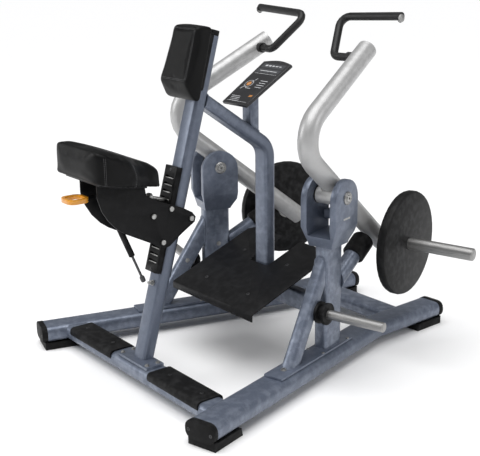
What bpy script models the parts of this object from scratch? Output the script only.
"""Plate-loaded seated row machine with a chest pad and two independent arms.

Metres, +Z up. X = 0 is the symmetry plane, +Y is the way the user faces.
The right-hand arm frame is described in its own axes: n outwards, s rearwards, z up.
"""
import math

import bmesh
import bpy
from mathutils import Matrix, Vector

# Layout
LAYOUT_Y = 0.2237  # moves the layout so that the bounding box is centred on Y
GAP = 0.0003  # between pieces that touch
TOE = math.radians(15.15)  # each arm frame turns out by this much
PIVOT = Vector((0.360, -0.135, 0.699))  # right arm pivot
SIDES = {"right": 1, "left": -1}

# Base rails, flat-oval tube
RAIL_HALF = 0.060
RAIL_LOW = 0.030
RAIL_TOP = 0.095
RAIL_ROUND = 0.026
RAIL_FRONT_S = -0.766
RAIL_CORNER = Vector((0.2725, 0.188))
RAIL_REAR = Vector((0.2561, 0.567))
CAP_THICK = 0.023
CAP_PROUD = 0.002
FOOT_HALF = 0.058
FOOT_SPAN = (-0.013, 0.138)  # along the rail, from the rail's end
CROSS_LOW = 0.0325
CROSS_TOP = 0.0925
CROSS_HALF = 0.0525
FRONT_CROSS_Y = -0.763
REAR_CROSS_Y = 0.362
GRIP_WALL = 0.004
GRIP_X = (0.130, 0.445)

# Arm frame: column, leg, base plate, stop
COLUMN_HALF_S = 0.0575
COLUMN_HALF_N = 0.0265
BASE_TOP = 0.105
COLUMN_TOP = 0.5115
LEG_SLOPE = 1.575
LEG_FRONT = (-0.054, 0.481)  # a point on the leg's front line, (s, z)
LEG_REAR = (-0.137, 0.229)
LEG_HALF_N = 0.025
BEAM_Y = -0.130
BEAM_Z = (0.205, 0.285)
BEAM_HALF_Y = 0.025
STOP_RADIUS = 0.033
STOP_START = (0.100, 0.376)  # a point on the stop's centre line, (s, z)
STOP_SLOPE = 0.552
BUMP_RADIUS = 0.045
BUMP_S = (0.177, 0.2632)

# Yoke
YOKE_HALF_N = 0.076
YOKE_INNER_N = 0.050
YOKE_HALF_S = 0.079
YOKE_ARCH_Z = 0.690
YOKE_SHOULDER_Z = 0.585
YOKE_LOW_Z = 0.512
YOKE_FLOOR_Z = 0.552
YOKE_WEB_Z = (0.594, 0.632)
SHAFT_RADIUS = 0.0125
SHAFT_CAP = (0.025, 0.0070)

# Arm
ARM_RADIUS = 0.038
ARM_BEND = 0.110
ARM_TOP = (0.253, 1.215)
ARM_CORNER = (-0.2369, 0.936)
ARM_LOW = (0.405, 0.4264)
HUB_RADIUS = 0.0325
HUB_HALF_N = 0.0440
HORN_S_Z = (0.390, 0.441)
HORN_RADIUS = 0.025
HORN_ROOT_N = 0.0885
HORN_TIP_N = 0.413
PLATE_RADIUS = 0.211
PLATE_BORE = 0.0258
PLATE_N = (0.0985, 0.1395)
HANDLE_RADIUS = 0.0155
HANDLE_BEND = 0.034
HANDLE_ROUTE = (
    (0.3077, 0.0581, 1.1860), (0.183, 0.041, 1.185), (0.100, 0.157, 1.324), (0.412, 0.166, 1.339),
)

# Storage horn
STORE_S_Z = (-0.103, 0.275)
STORE_N = (0.0253, 0.0680, 0.300)
STORE_SPOOL = (0.042, 0.030)
STORE_BAR = 0.0185

# Seat column, brace, chest pad
LEAN = math.atan(0.283)
MAST_FRONT = (-0.533, 0.950)  # a point on the mast's front line, (y, z)
MAST_HALF_X = 0.038
MAST_DEPTH = 0.050
MAST_BOTTOM = 0.098
MAST_TOP = 1.282
MAST_CAP_THICK = 0.020
MAST_ROUND = 0.014
MAST_BASE = (0.105, 0.040, 0.0095)
BRACE_DEPTH = 0.050
BRACE_ROUTE = ((-0.440, 1.0365), (-0.1505, 0.838), (-0.1505, 0.2853))
BRACE_BEND = 0.085
PAD_CENTRE_Z = 1.195
PAD_BACK = 0.020
PAD_ROUND = 0.010
RACK_Z = (0.425, 0.812)
RACK_THICK = 0.023
RACK_HALF_X = 0.0395
NOTCH_COUNT = 13
NOTCH_MARGIN = 0.040
NOTCH_SIZE = (0.052, 0.020, 0.011)
STRIP_Z = (0.398, 0.780)
STRIP_THICK = 0.008

# Foot plate and placard
DECK_FRONT = (-0.428, 0.264)
DECK_REAR = (-0.010, 0.424)
DECK_HALF_X = 0.260
DECK_THICK = 0.005
DECK_LIP = 0.027
DECK_SLOT = (0.057, -0.186)
PLACARD_LOW = (-0.302, 1.019)
PLACARD_HIGH = (-0.084, 1.155)
PLACARD_HALF_X = (0.073, 0.083)
PLACARD_THICK = 0.014
PLACARD_ARCH = 0.014
PLACARD_POST_Y = -0.220

# Seat carriage
CHEEK_X = (0.0550, 0.0600)
CHEEK_OUTLINE = (
    (-0.946, 0.811), (-0.751, 0.769), (-0.747, 0.740), (-0.700, 0.712), (-0.590, 0.669), (-0.548, 0.645),
    (-0.533, 0.626), (-0.538, 0.607), (-0.602, 0.569), (-0.652, 0.534), (-0.674, 0.529), (-0.747, 0.566),
    (-0.840, 0.614), (-0.872, 0.637), (-0.905, 0.672), (-0.930, 0.712), (-0.946, 0.762),
)
ROLLERS = {"rear": (-0.554, 0.623), "front_upper": (-0.642, 0.674), "front_lower": (-0.682, 0.554)}
AXLE_RADIUS = 0.0055
BORE_RADIUS = 0.0060
PAN_SLOPE = math.atan2(-0.042, 0.195)
PAN_THICK = 0.008
PAN_OUTLINE = ((-0.968, 0.118), (-0.880, 0.122), (-0.745, 0.066))
CUSHION_OUTLINE = (
    (-0.996, 0.122), (-0.987, 0.147), (-0.960, 0.162), (-0.905, 0.163), (-0.850, 0.146),
    (-0.800, 0.115), (-0.755, 0.093), (-0.712, 0.083), (-0.690, 0.066), (-0.680, 0.038),
)
CUSHION_TOP = ((-0.955, 0.934), (-0.700, 0.838))
CUSHION_ROUND = 0.016
LEVER_AXLE = (-0.720, 0.659)
LEVER_LOOP = (-1.000, 0.756)
LEVER_SIZE = (0.043, 0.040, 0.016)
LEVER_RIM = 0.012
LOCK_POINT = (-0.690, 0.713)
STRUT_TOP = (-0.845, 0.660)
STRUT_LOW = (-0.738, 0.409)
STRUT_TUBE = (0.0115, 0.165)
STRUT_ROD = 0.0048
STUD_Z = 0.389

SHADES = {
    "frame_paint": ((0.235, 0.270, 0.345), 0.38, 0.55),
    "arm_silver": ((0.620, 0.630, 0.640), 0.34, 0.75),
    "steel": ((0.560, 0.570, 0.580), 0.26, 1.0),
    "black_rubber": ((0.022, 0.022, 0.024), 0.72, 0.0),
    "black_plastic": ((0.020, 0.020, 0.022), 0.48, 0.0),
    "black_sheet": ((0.030, 0.030, 0.032), 0.55, 0.2),
    "black_vinyl": ((0.018, 0.018, 0.020), 0.46, 0.0),
    "lever_orange": ((0.760, 0.300, 0.025), 0.35, 0.0),
}

for old in list(bpy.data.objects):
    bpy.data.objects.remove(old, do_unlink=True)

parts = bpy.data.collections.new("row_machine")
cutters = bpy.data.collections.new("cutters")
bpy.context.scene.collection.children.link(parts)
bpy.context.scene.collection.children.link(cutters)


# ---- helpers ----
def make_material(name):
    colour, roughness, metallic = SHADES[name]
    material = bpy.data.materials.new(name)
    material.use_nodes = True
    shader = material.node_tree.nodes["Principled BSDF"]
    shader.inputs["Base Color"].default_value = (*colour, 1.0)
    shader.inputs["Roughness"].default_value = roughness
    shader.inputs["Metallic"].default_value = metallic
    return material


materials = {name: make_material(name) for name in SHADES}


def add_empty(name, location=(0, 0, 0), turn=0.0, parent=None):
    empty = bpy.data.objects.new(name, None)
    empty.location = location
    empty.rotation_euler = (0, 0, turn)
    empty.parent = parent
    parts.objects.link(empty)
    return empty


def add_object(name, mesh, shade, parent, location=(0, 0, 0), turn=(0, 0, 0)):
    """A sub-part, or with no shade a helper that only cuts or joins."""
    obj = bpy.data.objects.new(name, mesh)
    obj.location = location
    obj.rotation_euler = turn
    obj.parent = parent
    if shade:
        mesh.materials.append(materials[shade])
        parts.objects.link(obj)
    else:
        cutters.objects.link(obj)
        obj.hide_render = True
        obj.display_type = "WIRE"
    return obj


def add_body(name, bm, shade, parent, location=(0, 0, 0), turn=(0, 0, 0), side=1):
    """Object from a bmesh drawn for the right-hand side; side -1 mirrors it in X."""
    if side < 0:
        bmesh.ops.scale(bm, verts=bm.verts, vec=(-1, 1, 1))
    bmesh.ops.recalc_face_normals(bm, faces=bm.faces)
    mesh = bpy.data.meshes.new(name)
    bm.to_mesh(mesh)
    bm.free()
    mesh.shade_smooth()
    mesh.set_sharp_from_angle(angle=math.radians(32))
    return add_object(name, mesh, shade, parent, location, turn)


def cuboid(low, high, radius=0.0, along=None, segments=3):
    """Box between two corners; its edges are rounded, or only those along one axis."""
    low, high = Vector(low), Vector(high)
    bm = bmesh.new()
    bmesh.ops.create_cube(bm, size=1.0)
    bmesh.ops.scale(bm, verts=bm.verts, vec=high - low)
    bmesh.ops.translate(bm, verts=bm.verts, vec=(low + high) / 2)
    if radius:

        def runs_along(edge):
            step = edge.verts[1].co - edge.verts[0].co
            return along is None or abs(step[along]) > 1e-6

        edges = [edge for edge in bm.edges if runs_along(edge)]
        bmesh.ops.bevel(bm, geom=edges, offset=radius, segments=segments, profile=0.5, affect="EDGES")
    return bm


def prism(outline, start, end, radius=0.0, keep=(), segments=4, plane="XY"):
    """Closed outline pushed from start to end across its plane.

    The outline's edges on both faces are rounded, except the stretches whose index is in keep.
    """
    bm = bmesh.new()
    base = [bm.verts.new((u, v, start)) for u, v in outline]
    face = bm.faces.new(base)
    made = bmesh.ops.extrude_face_region(bm, geom=[face])["geom"]
    moved = [item for item in made if isinstance(item, bmesh.types.BMVert)]
    bmesh.ops.translate(bm, verts=moved, vec=(0, 0, end - start))
    if radius:
        count = len(outline)
        kept = [(Vector(outline[i]) + Vector(outline[(i + 1) % count])) / 2 for i in keep]

        def is_soft(edge):
            a, b = edge.verts[0].co, edge.verts[1].co
            middle = ((a + b) / 2).xy
            return abs(a.z - b.z) < 1e-7 and all((middle - other).length > 1e-5 for other in kept)

        edges = [edge for edge in bm.edges if is_soft(edge)]
        bmesh.ops.bevel(bm, geom=edges, offset=radius, segments=segments, profile=0.5, affect="EDGES")
    if plane == "YZ":
        turn = Matrix(((0, 0, 1), (1, 0, 0), (0, 1, 0))).to_4x4()
        bmesh.ops.transform(bm, matrix=turn, verts=bm.verts)
    return bm


def turned(name, profile, shade, parent, location, axis, steps=24, closed=False):
    """Profile of (radius, height) points, top to bottom, turned about its height and aimed along axis."""
    mesh = bpy.data.meshes.new(name)
    count = len(profile)
    edges = [(i, i + 1) for i in range(count - 1)]
    if closed:
        edges.append((count - 1, 0))
    mesh.from_pydata([(radius, 0, height) for radius, height in profile], edges, [])
    turn = Vector(axis).to_track_quat("Z", "Y").to_euler()
    obj = add_object(name, mesh, shade, parent, location, turn)
    screw = obj.modifiers.new("turned", "SCREW")
    screw.steps = steps
    screw.render_steps = steps
    screw.use_merge_vertices = True
    screw.merge_threshold = 0.00005
    screw.use_smooth_shade = True
    return obj


def rod_profile(radius, low, high, chamfer=0.0):
    if not chamfer:
        return [(0, high), (radius, high), (radius, low), (0, low)]
    return [
        (0, high), (radius - chamfer, high), (radius, high - chamfer),
        (radius, low + chamfer), (radius - chamfer, low), (0, low),
    ]


def filleted(points, radius, steps=6):
    """Route through the points, with each inner corner turned into an arc."""
    points = [Vector(point) for point in points]
    route = [points[0]]
    for before, corner, after in zip(points, points[1:], points[2:]):
        into = (corner - before).normalized()
        out = (after - corner).normalized()
        angle = into.angle(out)
        start = corner - into * radius * math.tan(angle / 2)
        centre = corner + (out - into).normalized() * radius / math.cos(angle / 2)
        for i in range(steps + 1):
            part = angle * i / steps
            route.append(centre + (start - centre) * math.cos(part) + into * radius * math.sin(part))
    return route + [points[-1]]


def ribbon(route, half_width):
    """Outline of a band of constant width along a flat route, and its two end stretches."""
    left, right = [], []
    for i, point in enumerate(route):
        steps = []
        if i > 0:
            steps.append((point - route[i - 1]).normalized())
        if i < len(route) - 1:
            steps.append((route[i + 1] - point).normalized())
        along = sum(steps, Vector((0, 0))).normalized()
        across = Vector((-along.y, along.x)) * half_width / along.dot(steps[0])
        left.append(point + across)
        right.append(point - across)
    outline = left + right[::-1]
    return [tuple(point) for point in outline], (len(route) - 1, len(outline) - 1)


def tube_mesh(name, route, radius, sides=28):
    """Round tube along a route, with closed ends, as a mesh."""
    curve = bpy.data.curves.new(name, "CURVE")
    curve.dimensions = "3D"
    curve.fill_mode = "FULL"
    curve.bevel_depth = radius
    curve.bevel_resolution = (sides - 4) // 2
    curve.use_fill_caps = True
    spline = curve.splines.new("POLY")
    spline.points.add(len(route) - 1)
    for point, place in zip(spline.points, route):
        point.co = (*place, 1.0)
    guide = bpy.data.objects.new(name, curve)
    cutters.objects.link(guide)
    bpy.context.view_layer.update()
    mesh = bpy.data.meshes.new_from_object(guide.evaluated_get(bpy.context.evaluated_depsgraph_get()))
    bpy.data.objects.remove(guide, do_unlink=True)
    bpy.data.curves.remove(curve)
    bm = bmesh.new()
    bm.from_mesh(mesh)
    bmesh.ops.remove_doubles(bm, verts=bm.verts, dist=0.00001)
    bmesh.ops.recalc_face_normals(bm, faces=bm.faces)
    bpy.data.meshes.remove(mesh)
    return bm


def cylinder(radius, start, end, sides=32):
    """Cylinder between two points, as a bmesh."""
    start, end = Vector(start), Vector(end)
    bm = bmesh.new()
    bmesh.ops.create_cone(
        bm, cap_ends=True, segments=sides, radius1=radius, radius2=radius, depth=(end - start).length
    )
    turn = (end - start).to_track_quat("Z", "Y").to_matrix().to_4x4()
    bmesh.ops.transform(bm, matrix=Matrix.Translation((start + end) / 2) @ turn, verts=bm.verts)
    return bm


def combine(obj, helper, operation="DIFFERENCE"):
    boolean = obj.modifiers.new(helper.name, "BOOLEAN")
    boolean.object = helper
    boolean.operation = operation
    boolean.solver = "EXACT"


def side_point(n, s, z, side=1):
    """Layout point of arm-frame axes n, s, z, before LAYOUT_Y."""
    x = PIVOT.x - s * math.sin(TOE) + n * math.cos(TOE)
    y = PIVOT.y + s * math.cos(TOE) + n * math.sin(TOE)
    return Vector((side * x, y, z))


def arm_local(point):
    """Pivot axes n, s, z of a point given on the right-hand side of the layout."""
    away = Vector(point) - PIVOT
    n = away.x * math.cos(TOE) + away.y * math.sin(TOE)
    s = -away.x * math.sin(TOE) + away.y * math.cos(TOE)
    return Vector((n, s, away.z))


def mast_front(z):
    return MAST_FRONT[0] + math.tan(LEAN) * (z - MAST_FRONT[1])


def mast_offset(z, distance):
    """(y, z) of a point at height z on the mast's front line, moved forwards square to it."""
    return mast_front(z) - distance * math.cos(LEAN), z + distance * math.sin(LEAN)


# ---- base ----
layout = add_empty("layout", (0, LAYOUT_Y, 0))


def rail_route():
    front = side_point(0, RAIL_FRONT_S, 0).xy
    return filleted((front, RAIL_CORNER, RAIL_REAR), 0.16, 4)


def rail_body(grow=0.0):
    outline, ends = ribbon(rail_route(), RAIL_HALF + grow)
    return prism(outline, RAIL_LOW - grow, RAIL_TOP + grow, RAIL_ROUND, ends)


def cross_outline(centre_y, half_x):
    low, high = centre_y - CROSS_HALF, centre_y + CROSS_HALF
    return [(-half_x, low), (half_x, low), (half_x, high), (-half_x, high)]


def build_base():
    rail_cutters = []
    for name, side in SIDES.items():
        add_body(f"rail_{name}", rail_body(), "frame_paint", layout, side=side)
        rail_cutters.append(add_body(f"cut_rail_{name}", rail_body(GAP), None, layout, side=side))
    for name, centre_y, half_x in (("front", FRONT_CROSS_Y, 0.520), ("rear", REAR_CROSS_Y, 0.255)):
        outline = cross_outline(centre_y, half_x)
        tube = add_body(
            f"{name}_cross_tube", prism(outline, CROSS_LOW, CROSS_TOP, 0.022, (1, 3)), "frame_paint", layout
        )
        for cutter in rail_cutters:
            combine(tube, cutter)
    for name, side in SIDES.items():
        front = side_point(0, RAIL_FRONT_S, 0, side)
        add_end_foot(f"end_foot_front_{name}", front, side * TOE)
        rear = RAIL_REAR - RAIL_CORNER
        heading = math.pi - side * math.atan2(rear.x, rear.y)
        add_end_foot(f"end_foot_rear_{name}", (side * RAIL_REAR.x, RAIL_REAR.y, 0), heading)


def add_end_foot(name, location, heading):
    """Rubber cap on a rail's end, in one piece with the foot under it; +Y is into the rail."""
    half = RAIL_HALF + CAP_PROUD
    low, high = RAIL_LOW - CAP_PROUD, RAIL_TOP + CAP_PROUD
    cap = cuboid((-half, -CAP_THICK, low), (half, -GAP, high), 0.029, 1, 4)
    obj = add_body(name, cap, "black_rubber", layout, location, (0, 0, heading))
    profile = [
        (FOOT_SPAN[0], 0.0), (FOOT_SPAN[1], 0.0), (FOOT_SPAN[1] - 0.006, RAIL_LOW - GAP),
        (-GAP, RAIL_LOW - GAP), (-GAP, RAIL_LOW + 0.004), (FOOT_SPAN[0], RAIL_LOW + 0.004),
    ]
    foot = prism(profile, -FOOT_HALF, FOOT_HALF, plane="YZ")
    combine(obj, add_body(f"join_{name}", foot, None, layout, location, (0, 0, heading)), "UNION")


def build_steps():
    half = CROSS_HALF + GAP
    core = prism(
        [(-0.60, FRONT_CROSS_Y - half), (0.60, FRONT_CROSS_Y - half),
         (0.60, FRONT_CROSS_Y + half), (-0.60, FRONT_CROSS_Y + half)],
        CROSS_LOW - GAP, CROSS_TOP + GAP, 0.022, (1, 3),
    )
    cutter = add_body("cut_step", core, None, layout)
    for name, side in SIDES.items():
        low = (GRIP_X[0], FRONT_CROSS_Y - CROSS_HALF - GRIP_WALL, 0.060)
        high = (GRIP_X[1], FRONT_CROSS_Y + CROSS_HALF + GRIP_WALL, CROSS_TOP + 0.006)
        cover = add_body(
            f"step_grip_{name}", cuboid(low, high, 0.016, 0), "black_rubber", layout, side=side
        )
        combine(cover, cutter)


# ---- arm frames ----
def build_arm_frame(name, side):
    foot = add_empty(f"arm_frame_{name}", (side * PIVOT.x, PIVOT.y, 0), side * TOE, layout)
    plate = cuboid((-0.040, -0.370, RAIL_TOP + GAP), (0.040, 0.120, BASE_TOP), 0.004, 2)
    add_body(f"base_plate_{name}", plate, "frame_paint", foot, side=side)
    column = cuboid(
        (-COLUMN_HALF_N, -COLUMN_HALF_S, BASE_TOP + GAP),
        (COLUMN_HALF_N, COLUMN_HALF_S, COLUMN_TOP), 0.012, 2,
    )
    add_body(f"column_{name}", column, "frame_paint", foot, side=side)
    bottom = BASE_TOP + GAP
    meet = -COLUMN_HALF_S - GAP

    def leg_s(point, z):
        return point[0] + (z - point[1]) / LEG_SLOPE

    def leg_z(point, s):
        return point[1] + (s - point[0]) * LEG_SLOPE

    outline = [
        (leg_s(LEG_FRONT, bottom), bottom), (leg_s(LEG_REAR, bottom), bottom),
        (meet, leg_z(LEG_REAR, meet)), (meet, leg_z(LEG_FRONT, meet)),
    ]
    leg = prism(outline, -LEG_HALF_N, LEG_HALF_N, 0.018, (0, 2), plane="YZ")
    add_body(f"leg_{name}", leg, "frame_paint", foot, side=side)
    build_stop(name, side, foot)
    build_yoke(name, side, foot)
    build_storage(name, side, foot)


def build_stop(name, side, foot):
    start = Vector((0, STOP_START[0], STOP_START[1]))
    along = Vector((0, 1, STOP_SLOPE)).normalized()

    def at(s):
        return start + along * (s - STOP_START[0]) / along.y

    tube = cylinder(STOP_RADIUS, at(0.0), at(BUMP_S[0]) - along * GAP, 28)
    cut = bmesh.ops.bisect_plane(
        tube, geom=tube.verts[:] + tube.edges[:] + tube.faces[:],
        plane_co=(0, COLUMN_HALF_S + GAP, 0), plane_no=(0, -1, 0), clear_outer=True,
    )
    rim = [item for item in cut["geom_cut"] if isinstance(item, bmesh.types.BMEdge)]
    bmesh.ops.holes_fill(tube, edges=rim)
    add_body(f"stop_tube_{name}", tube, "frame_paint", foot, side=side)
    length = (at(BUMP_S[1]) - at(BUMP_S[0])).length
    profile = [
        (0, length), (BUMP_RADIUS - 0.010, length), (BUMP_RADIUS - 0.003, length - 0.003),
        (BUMP_RADIUS, length - 0.010), (BUMP_RADIUS, 0.008), (BUMP_RADIUS - 0.006, 0), (0, 0),
    ]
    turned(f"bump_stop_{name}", profile, "black_rubber", foot, at(BUMP_S[0]), along)


def yoke_outline():
    """Side view (s, z): half-round top, upright edges and a narrower foot."""
    arch = []
    for i in range(13):
        angle = math.pi * i / 12
        arch.append((YOKE_HALF_S * math.cos(angle), YOKE_ARCH_Z + YOKE_HALF_S * math.sin(angle)))
    return arch + [
        (-YOKE_HALF_S, YOKE_SHOULDER_Z), (-COLUMN_HALF_S - 0.004, YOKE_LOW_Z),
        (0.052, YOKE_LOW_Z), (YOKE_HALF_S, YOKE_SHOULDER_Z - 0.030),
    ]


def build_yoke(name, side, foot):
    yoke = add_body(
        f"yoke_{name}", prism(yoke_outline(), -0.090, 0.090, plane="YZ"), "frame_paint", foot, side=side
    )
    low = COLUMN_HALF_N + 0.022
    front_view = [
        (-low, YOKE_LOW_Z - 0.010), (low, YOKE_LOW_Z - 0.010), (low + 0.004, YOKE_LOW_Z + 0.012),
        (YOKE_HALF_N, YOKE_SHOULDER_Z), (YOKE_HALF_N, 0.800), (-YOKE_HALF_N, 0.800),
        (-YOKE_HALF_N, YOKE_SHOULDER_Z), (-low - 0.004, YOKE_LOW_Z + 0.012),
    ]
    envelope = prism([(n, -z) for n, z in front_view], -0.120, 0.120)
    quarter = Matrix.Rotation(-math.pi / 2, 3, "X")
    bmesh.ops.rotate(envelope, verts=envelope.verts, cent=(0, 0, 0), matrix=quarter)
    combine(yoke, add_body(f"trim_yoke_{name}", envelope, None, foot), "INTERSECT")
    channel = prism(
        [(-0.150, YOKE_FLOOR_Z - 0.004), (0.150, YOKE_FLOOR_Z + 0.010), (0.150, 0.850), (-0.150, 0.850)],
        -YOKE_INNER_N, YOKE_INNER_N, plane="YZ",
    )
    combine(yoke, add_body(f"cut_yoke_{name}", channel, None, foot))
    web_half = YOKE_INNER_N + 0.010
    web = cuboid((-web_half, 0.045, YOKE_WEB_Z[0]), (web_half, 0.074, YOKE_WEB_Z[1]), 0.006, 0)
    combine(yoke, add_body(f"join_web_{name}", web, None, foot), "UNION")
    edge = yoke.modifiers.new("edges", "BEVEL")
    edge.limit_method = "ANGLE"
    edge.angle_limit = math.radians(40)
    edge.width = 0.003
    edge.segments = 2
    bore = cylinder(SHAFT_RADIUS + 0.0005, (-0.2, 0, PIVOT.z), (0.2, 0, PIVOT.z), 20)
    combine(yoke, add_body(f"cut_yoke_bore_{name}", bore, None, foot))
    cap_radius, cap_thick = SHAFT_CAP
    face = YOKE_HALF_N + GAP
    shaft = [
        (0, face + cap_thick), (cap_radius - 0.003, face + cap_thick), (cap_radius, face + cap_thick - 0.003),
        (cap_radius, face), (SHAFT_RADIUS, face), (SHAFT_RADIUS, -face), (cap_radius, -face),
        (cap_radius, -face - cap_thick + 0.003), (cap_radius - 0.003, -face - cap_thick),
        (0, -face - cap_thick),
    ]
    turned(f"pivot_shaft_{name}", shaft, "steel", foot, (0, 0, PIVOT.z), (1, 0, 0))


def build_storage(name, side, foot):
    s, z = STORE_S_Z
    inner, outer, tip = STORE_N
    rim, neck = STORE_SPOOL
    collar = [
        (STORE_BAR + GAP, outer), (rim - 0.002, outer), (rim, outer - 0.002), (rim, outer - 0.012),
        (neck, outer - 0.015), (neck, inner + 0.013), (rim, inner + 0.010), (rim, inner),
        (STORE_BAR + GAP, inner),
    ]
    turned(f"storage_collar_{name}", collar, "black_rubber", foot, (0, s, z), (side, 0, 0), closed=True)
    bar = rod_profile(STORE_BAR, inner, tip, 0.002)
    turned(f"storage_bar_{name}", bar, "steel", foot, (0, s, z), (side, 0, 0))


def build_beam():
    """Cross beam between the two columns, with its ends square to their inner faces."""
    inner = -COLUMN_HALF_N - GAP
    ends = []
    for y in (BEAM_Y - BEAM_HALF_Y, BEAM_Y + BEAM_HALF_Y):
        n_point = side_point(inner, 0, 0)
        slope = -math.tan(TOE)
        ends.append((n_point.x + (y - n_point.y) * slope, y))
    outline = [(-ends[0][0], ends[0][1]), ends[0], ends[1], (-ends[1][0], ends[1][1])]
    beam = prism(outline, BEAM_Z[0], BEAM_Z[1], 0.012, (1, 3))
    add_body("middle_cross_beam", beam, "frame_paint", layout)


# ---- arms ----
def build_arm(name, side):
    pivot = add_empty(f"arm_pivot_{name}", (side * PIVOT.x, PIVOT.y, PIVOT.z), side * TOE, layout)
    lift = PIVOT.z
    corners = [(0, s, z - lift) for s, z in (ARM_TOP, ARM_CORNER, ARM_LOW)]
    arm = add_body(
        f"arm_tube_{name}", tube_mesh("arm", filleted(corners, ARM_BEND, 8), ARM_RADIUS, 24),
        "arm_silver", pivot
    )
    hub = cylinder(HUB_RADIUS, (-HUB_HALF_N, 0, 0), (HUB_HALF_N, 0, 0), 24)
    combine(arm, add_body(f"join_hub_{name}", hub, None, pivot), "UNION")
    s, z = HORN_S_Z[0], HORN_S_Z[1] - lift
    boss = cylinder(0.031, (0, s - 0.006, z + 0.005), (side * HORN_ROOT_N, s - 0.006, z + 0.005), 20)
    combine(arm, add_body(f"join_boss_{name}", boss, None, pivot), "UNION")
    bore = cylinder(SHAFT_RADIUS + 0.0005, (-0.1, 0, 0), (0.1, 0, 0), 20)
    combine(arm, add_body(f"cut_hub_{name}", bore, None, pivot))

    root = HORN_ROOT_N + GAP
    horn = [
        (0, HORN_TIP_N), (HORN_RADIUS - 0.003, HORN_TIP_N), (HORN_RADIUS, HORN_TIP_N - 0.003),
        (HORN_RADIUS, PLATE_N[0] - GAP), (0.043, PLATE_N[0] - GAP), (0.043, root), (0, root),
    ]
    turned(f"weight_horn_{name}", horn, "steel", pivot, (0, s, z), (side, 0, 0))
    low, high = PLATE_N
    rim = PLATE_RADIUS
    plate = [
        (PLATE_BORE, high), (rim - 0.012, high), (rim - 0.0035, high - 0.0035), (rim, high - 0.012),
        (rim, low + 0.012), (rim - 0.0035, low + 0.0035), (rim - 0.012, low), (PLATE_BORE, low),
    ]
    turned(f"weight_plate_{name}", plate, "black_rubber", pivot, (0, s, z), (side, 0, 0), 40, closed=True)

    route = [arm_local(point) for point in filleted(HANDLE_ROUTE, HANDLE_BEND, 5)]
    handle = add_body(
        f"handle_{name}", tube_mesh("handle", route, HANDLE_RADIUS, 16), "black_rubber", pivot, side=side
    )
    start = arm_local(HANDLE_ROUTE[0])
    toward = (arm_local(HANDLE_ROUTE[1]) - start).normalized()
    collar = cylinder(0.0205, start, start + toward * 0.056, 20)
    combine(handle, add_body(f"join_collar_{name}", collar, None, pivot, side=side), "UNION")
    top = Vector(corners[0])
    along = (top - Vector(corners[1])).normalized()
    tube = cylinder(ARM_RADIUS + 0.0004, top - along * 0.30, top + along * 0.05)
    combine(handle, add_body(f"cut_handle_{name}", tube, None, pivot, side=side))


# ---- mast, brace, chest pad ----
def mast_outline():
    depth_y = MAST_DEPTH / math.cos(LEAN)
    shift = MAST_DEPTH * math.sin(LEAN) / 2
    front_top, rear_top = MAST_TOP + shift, MAST_TOP - shift
    return [
        (mast_front(MAST_BOTTOM), MAST_BOTTOM), (mast_front(MAST_BOTTOM) + depth_y, MAST_BOTTOM),
        (mast_front(rear_top) + depth_y, rear_top), (mast_front(front_top), front_top),
    ]


def build_mast():
    mast = add_body(
        "seat_mast", prism(mast_outline(), -MAST_HALF_X, MAST_HALF_X, MAST_ROUND, (0, 2), plane="YZ"),
        "frame_paint", layout,
    )
    half_x, half_y, thick = MAST_BASE
    plate = cuboid(
        (-half_x, FRONT_CROSS_Y - half_y, CROSS_TOP + GAP),
        (half_x, FRONT_CROSS_Y + half_y, CROSS_TOP + thick), 0.006, 2,
    )
    combine(mast, add_body("join_mast_base", plate, None, layout), "UNION")
    top_y, top_z = mast_front(MAST_TOP) + MAST_DEPTH / math.cos(LEAN) / 2, MAST_TOP
    half_x, half_y = MAST_HALF_X - 0.0005, MAST_DEPTH / 2 - 0.0005
    lid = cuboid((-half_x, -half_y, GAP), (half_x, half_y, MAST_CAP_THICK), MAST_ROUND, 2)
    add_body("mast_cap", lid, "black_plastic", layout, (0, top_y, top_z), (-LEAN, 0, 0))

    rack = add_body("rack_cover", rack_body(), "black_plastic", layout)
    notches = bmesh.new()
    for i in range(NOTCH_COUNT):
        first, last = RACK_Z[0] + NOTCH_MARGIN, RACK_Z[1] - NOTCH_MARGIN
        y, z = mast_offset(first + i * (last - first) / (NOTCH_COUNT - 1), RACK_THICK)
        turn = Matrix.Translation((0, y, z)) @ Matrix.Rotation(-LEAN, 4, "X")
        bmesh.ops.create_cube(notches, size=1.0, matrix=turn @ Matrix.Diagonal((*NOTCH_SIZE, 1.0)))
    combine(rack, add_body("cut_rack", notches, None, layout))

    low = mast_front(STRIP_Z[0]) + MAST_DEPTH / math.cos(LEAN)
    high = mast_front(STRIP_Z[1]) + MAST_DEPTH / math.cos(LEAN)
    step = Vector((math.cos(LEAN), -math.sin(LEAN)))
    inner = [Vector((low, STRIP_Z[0])) + step * GAP, Vector((high, STRIP_Z[1])) + step * GAP]
    outer = [point + step * STRIP_THICK for point in reversed(inner)]
    outline = [tuple(point) for point in inner + outer]
    add_body("guide_strip", prism(outline, -0.022, 0.022, 0.002, plane="YZ"), "black_plastic", layout)

    base = Vector((0, *mast_offset(STUD_Z - 0.005, GAP)))
    normal = Vector((0, -math.cos(LEAN), math.sin(LEAN)))
    stud = [
        (0, 0.024), (0.0045, 0.024), (0.0045, 0.013), (0.0085, 0.013),
        (0.0085, 0.004), (0.011, 0.004), (0.011, 0), (0, 0),
    ]
    turned("strut_stud", stud, "steel", layout, base, normal, 16)


def rack_body():
    """Block on the mast's front face, its long front edges rounded."""
    near = [Vector(mast_offset(z, GAP)) for z in RACK_Z]
    far = [Vector(mast_offset(z, RACK_THICK)) for z in RACK_Z]
    outline = [tuple(near[0]), tuple(near[1]), tuple(far[1]), tuple(far[0])]
    return prism(outline, -RACK_HALF_X, RACK_HALF_X, 0.004, (0,), 2, plane="YZ")


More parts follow.
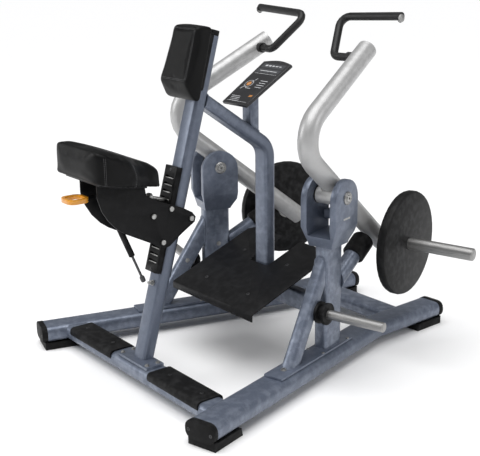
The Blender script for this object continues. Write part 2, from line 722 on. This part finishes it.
def build_brace():
    route = filleted(BRACE_ROUTE, BRACE_BEND, 8)
    outline, ends = ribbon(route, BRACE_DEPTH / 2)
    outline = [Vector(point) for point in outline]
    along = (route[1] - route[0]).normalized()
    lean = Vector((math.sin(LEAN), math.cos(LEAN)))
    meet = Vector((mast_front(1.0) + MAST_DEPTH / math.cos(LEAN) + GAP / math.cos(LEAN), 1.0))
    for index in (0, len(outline) - 1):
        away = outline[index] - meet
        slip = (away.x * lean.y - away.y * lean.x) / (along.x * lean.y - along.y * lean.x)
        outline[index] = outline[index] - along * slip
    outline = [tuple(point) for point in outline]
    brace = prism(outline, -MAST_HALF_X, MAST_HALF_X, MAST_ROUND, ends, plane="YZ")
    add_body("brace_post", brace, "frame_paint", layout)


def build_chest_pad():
    """Backboard and a pad that narrows towards its flat front face, square to the mast."""
    y, z = mast_offset(PAD_CENTRE_Z, 0)
    board = cuboid((-0.070, -PAD_BACK + GAP, -0.110), (0.070, -GAP, 0.102), 0.010, 1)
    add_body("chest_board", board, "black_plastic", layout, (0, y, z), (-LEAN, 0, 0))
    back = [(-0.095, -0.151), (0.095, -0.151), (0.082, 0.119), (-0.082, 0.119)]
    front = [(-0.086, -0.098), (0.086, -0.098), (0.074, 0.108), (-0.074, 0.108)]
    depths = ((PAD_BACK,) * 4, (0.046,) * 4, (0.097, 0.097, 0.088, 0.088))
    bm = bmesh.new()
    rings = []
    for ring, depth in zip((back, back, front), depths):
        rings.append([bm.verts.new((x, -away, up)) for (x, up), away in zip(ring, depth)])
    bm.faces.new(rings[0])
    bm.faces.new(rings[-1])
    for lower, upper in zip(rings, rings[1:]):
        for i in range(4):
            bm.faces.new((lower[i], lower[(i + 1) % 4], upper[(i + 1) % 4], upper[i]))
    bmesh.ops.recalc_face_normals(bm, faces=bm.faces)
    bmesh.ops.bevel(bm, geom=bm.edges[:], offset=PAD_ROUND, segments=2, profile=0.5, affect="EDGES")
    add_body("chest_pad", bm, "black_vinyl", layout, (0, y, z), (-LEAN, 0, 0))


# ---- foot plate and placard ----
def build_deck():
    front, rear = Vector(DECK_FRONT), Vector(DECK_REAR)
    route = [front - Vector((0, DECK_LIP)), front, rear]
    outline, ends = ribbon(filleted(route, 0.008, 3), DECK_THICK / 2)
    sheet = prism(outline, -DECK_HALF_X, DECK_HALF_X, plane="YZ")
    deck = add_body("foot_plate", sheet, "black_sheet", layout)
    slot = cuboid((-DECK_SLOT[0], DECK_SLOT[1], 0.25), (DECK_SLOT[0], 0.05, 0.50), 0.012, 2)
    combine(deck, add_body("cut_deck", slot, None, layout))
    corner = bmesh.new()
    for side in (-1, 1):
        place = Matrix.Translation((side * (DECK_HALF_X + 0.012), DECK_REAR[0] + 0.012, 0.42))
        trim = place @ Matrix.Rotation(math.pi / 4, 4, "Z")
        bmesh.ops.create_cube(corner, size=1.0, matrix=trim @ Matrix.Diagonal((0.07, 0.07, 0.10, 1.0)))
    combine(deck, add_body("cut_deck_corner", corner, None, layout))

    along = (rear - front).normalized()
    below = Vector((along.y, -along.x)) * (DECK_THICK / 2 + GAP)

    def under(y):
        point = front + along * (y - front.x) / along.x
        return point + below

    bottom = BEAM_Z[1] + GAP
    rib = [(-0.105, bottom), tuple(under(-0.060)), tuple(under(-0.330)), (-0.155, bottom)]
    ribs = [
        prism(rib, low, high, plane="YZ") for low, high in ((-0.080, -0.072), (0.072, 0.080))
    ]
    bracket = add_body("plate_bracket", ribs[0], "black_sheet", layout)
    combine(bracket, add_body("join_rib", ribs[1], None, layout), "UNION")
    tie = [tuple(under(-0.232)), tuple(under(-0.226)), (-0.190, 0.302), (-0.196, 0.302)]
    combine(bracket, add_body("join_tie", prism(tie, -0.076, 0.076, plane="YZ"), None, layout), "UNION")


def build_placard():
    low, high = Vector(PLACARD_LOW), Vector(PLACARD_HIGH)
    along = (high - low).normalized()
    length = (high - low).length
    tilt = math.atan2(along.y, along.x)
    half_low, half_high = PLACARD_HALF_X
    outline = [(-half_low, 0), (half_low, 0)]
    for i in range(9):
        part = i / 8
        outline.append((half_high * (1 - 2 * part), length + PLACARD_ARCH * math.sin(math.pi * part)))
    panel = prism(outline, -PLACARD_THICK, 0, 0.003, segments=2)
    add_body("placard_panel", panel, "black_plastic", layout, (0, low.x, low.y), (tilt, 0, 0))

    drop = Vector((along.y, -along.x)) * (PLACARD_THICK + GAP)

    def panel_under(y):
        return (low + drop + along * (y - low.x - drop.x) / along.x).y

    brace_top = Vector(BRACE_ROUTE[0])
    brace_along = (Vector(BRACE_ROUTE[1]) - Vector(BRACE_ROUTE[0])).normalized()
    lift = Vector((-brace_along.y, brace_along.x)) * (BRACE_DEPTH / 2 + GAP)

    def brace_over(y):
        start = brace_top + lift
        return (start + brace_along * (y - start.x) / brace_along.x).y

    rear, front = PLACARD_POST_Y + 0.022, PLACARD_POST_Y - 0.022
    post = [
        (front, brace_over(front)), (rear, brace_over(rear)),
        (rear, panel_under(rear)), (front, panel_under(front)),
    ]
    add_body("placard_post", prism(post, -0.030, 0.030, 0.012, (0, 2), plane="YZ"), "frame_paint", layout)


# ---- seat ----
def build_seat():
    carriage = add_empty("seat_carriage", (0, 0, 0), parent=layout)
    pins = list(ROLLERS.values()) + [LEVER_AXLE]
    for name, side in SIDES.items():
        cheek = add_body(
            f"seat_cheek_{name}", prism(CHEEK_OUTLINE, CHEEK_X[0], CHEEK_X[1], plane="YZ"), "black_sheet",
            carriage, side=side,
        )
        bores = bmesh.new()
        for y, z in pins:
            place = Matrix.Translation((side * CHEEK_X[0], y, z)) @ Matrix.Rotation(math.pi / 2, 4, "Y")
            bmesh.ops.create_cone(
                bores, cap_ends=True, segments=12, radius1=BORE_RADIUS, radius2=BORE_RADIUS, depth=0.04,
                matrix=place
            )
        combine(cheek, add_body(f"cut_cheek_{name}", bores, None, carriage))
    for name, (y, z) in ROLLERS.items():
        build_roller(name, y, z, carriage)
    build_seat_top(carriage)


def roller_radius(y, z):
    """The sleeve just clears the rack in front of the mast, or the guide strip behind it."""
    away = (mast_front(z) - y) * math.cos(LEAN)
    clear = 0.0006
    return away - RACK_THICK - clear if away > 0 else -away - MAST_DEPTH - STRIP_THICK - GAP - clear


def build_roller(name, y, z, carriage):
    head = CHEEK_X[1] + 0.006
    sleeve = roller_radius(y, z)
    profile = [
        (0, head), (0.0095, head), (0.0095, CHEEK_X[1] + GAP), (AXLE_RADIUS, CHEEK_X[1] + GAP),
        (AXLE_RADIUS, 0.046),
        (max(sleeve, AXLE_RADIUS + 0.0008), 0.044),
    ]
    lower = [(radius, -height) for radius, height in reversed(profile)]
    turned(f"roller_{name}", profile + lower, "steel", carriage, (0, y, z), (1, 0, 0), 14)


def build_seat_top(carriage):
    back, front = Vector(CHEEK_OUTLINE[0]), Vector(CHEEK_OUTLINE[1])
    along = (front - back).normalized()
    above = Vector((-along.y, along.x))

    def mirrored(points):
        return [(half, y) for y, half in points] + [(-half, y) for y, half in reversed(points)]

    def on_plane(y, height):
        point = back + above * height
        return point.y + (y - point.x) * along.y / along.x

    pan = prism(mirrored(PAN_OUTLINE), 0, 1)
    for vert in pan.verts:
        vert.co.z = on_plane(vert.co.y, GAP if vert.co.z < 0.5 else PAN_THICK)
    add_body("seat_pan", pan, "black_sheet", carriage)

    top_back, top_front = Vector(CUSHION_TOP[0]), Vector(CUSHION_TOP[1])
    slope = (top_front.y - top_back.y) / (top_front.x - top_back.x)
    cushion = prism(mirrored(CUSHION_OUTLINE), 0, 1)
    for vert in cushion.verts:
        if vert.co.z < 0.5:
            vert.co.z = on_plane(vert.co.y, PAN_THICK + GAP)
        else:
            vert.co.z = top_back.y + slope * (vert.co.y - top_back.x)
    flat = [
        edge for edge in cushion.edges
        if abs(edge.verts[0].co.xy.length - edge.verts[1].co.xy.length) > 1e-7
        or abs(edge.verts[0].co.x - edge.verts[1].co.x) > 1e-6
    ]
    top_edges = [
        edge for edge in flat if min(vert.co.z - on_plane(vert.co.y, 0.03) for vert in edge.verts) > 0
    ]
    bmesh.ops.bevel(cushion, geom=top_edges, offset=CUSHION_ROUND, segments=3, profile=0.5, affect="EDGES")
    add_body("seat_cushion", cushion, "black_vinyl", carriage)


def build_lever():
    """Loop, arm and axle in one piece; the origin is on the axle."""
    axle = Vector((0, *LEVER_AXLE))
    hinge = add_empty("lever_hinge", axle, parent=layout)
    loop = Vector((0, *LEVER_LOOP)) - axle
    half_x, half_y, thick = LEVER_SIZE
    ring = cuboid((-half_x, -half_y, -thick / 2), (half_x, half_y, thick / 2), 0.026, 2, 4)
    bmesh.ops.translate(ring, verts=ring.verts, vec=loop)
    lever = add_body("release_lever", ring, "lever_orange", hinge)
    inner_x, inner_y = half_x - LEVER_RIM, half_y - LEVER_RIM
    hole = cuboid((-inner_x, -inner_y, -0.03), (inner_x, inner_y, 0.03), 0.016, 2, 4)
    bmesh.ops.translate(hole, verts=hole.verts, vec=loop)
    combine(lever, add_body("cut_lever", hole, None, hinge))
    start = loop.yz + Vector((half_y - 0.009, 0))
    mid = loop.yz + Vector((half_y + 0.030, 0))
    outline, _ = ribbon([start, mid, Vector((0, 0))], 0.0050)
    neck = prism(outline, -0.011, 0.011, plane="YZ")
    combine(lever, add_body("join_lever_arm", neck, None, hinge), "UNION")
    boss = cylinder(0.011, (-0.020, 0, 0), (0.020, 0, 0), 20)
    combine(lever, add_body("join_lever_boss", boss, None, hinge), "UNION")
    head = CHEEK_X[1] + 0.006
    pin = cylinder(AXLE_RADIUS, (-head, 0, 0), (head, 0, 0), 16)
    combine(lever, add_body("join_lever_pin", pin, None, hinge), "UNION")
    for name, side in SIDES.items():
        cap = cylinder(0.0095, (side * (CHEEK_X[1] + GAP), 0, 0), (side * (head + 0.0005), 0, 0), 16)
        combine(lever, add_body(f"join_lever_cap_{name}", cap, None, hinge), "UNION")

    y, z = LOCK_POINT
    normal = Vector((0, -math.cos(LEAN), math.sin(LEAN)))
    reach = (mast_front(z) - y) * math.cos(LEAN) - RACK_THICK - 0.001
    pin = [
        (0, 0.016), (0.0145, 0.016), (0.0165, 0.013), (0.0165, 0.002), (0.0145, 0), (0.0070, 0),
        (0.0070, -reach + 0.002), (0.005, -reach), (0, -reach),
    ]
    turned("lock_pin", pin, "steel", layout, (0, y, z), normal, 20)


def build_strut():
    """Gas strut: its tube turns on the seat, its rod slides in the tube."""
    top, low = Vector((0, *STRUT_TOP)), Vector((0, *STRUT_LOW))
    hinge = add_empty("strut_hinge", top, parent=layout)
    along = (low - top).normalized()
    radius, length = STRUT_TUBE
    tube = cylinder(radius, (0, 0, 0), along * length, 24)
    body = add_body("strut_tube", tube, "black_plastic", hinge)
    cross = cylinder(0.0048, (-CHEEK_X[0] + GAP, 0, 0), (CHEEK_X[0] - GAP, 0, 0), 16)
    combine(body, add_body("join_strut_cross", cross, None, hinge), "UNION")
    reach = (low - top).length
    well = cylinder(STRUT_ROD + 0.0004, along * 0.012, along * (length + 0.02), 20)
    combine(body, add_body("cut_strut_well", well, None, hinge))
    rod = [
        (0, 0.010), (0.0085, 0.010), (0.0095, 0.006), (0.0095, -0.008), (0.0065, -0.014), (STRUT_ROD, -0.015),
        (STRUT_ROD, -0.195), (0, -0.195),
    ]
    turned("strut_rod", rod, "steel", hinge, along * reach, along, 20)


build_base()
build_steps()
for side_name, side_sign in SIDES.items():
    build_arm_frame(side_name, side_sign)
    build_arm(side_name, side_sign)
build_beam()
build_mast()
build_brace()
build_chest_pad()
build_deck()
build_placard()
build_seat()
build_lever()
build_strut()
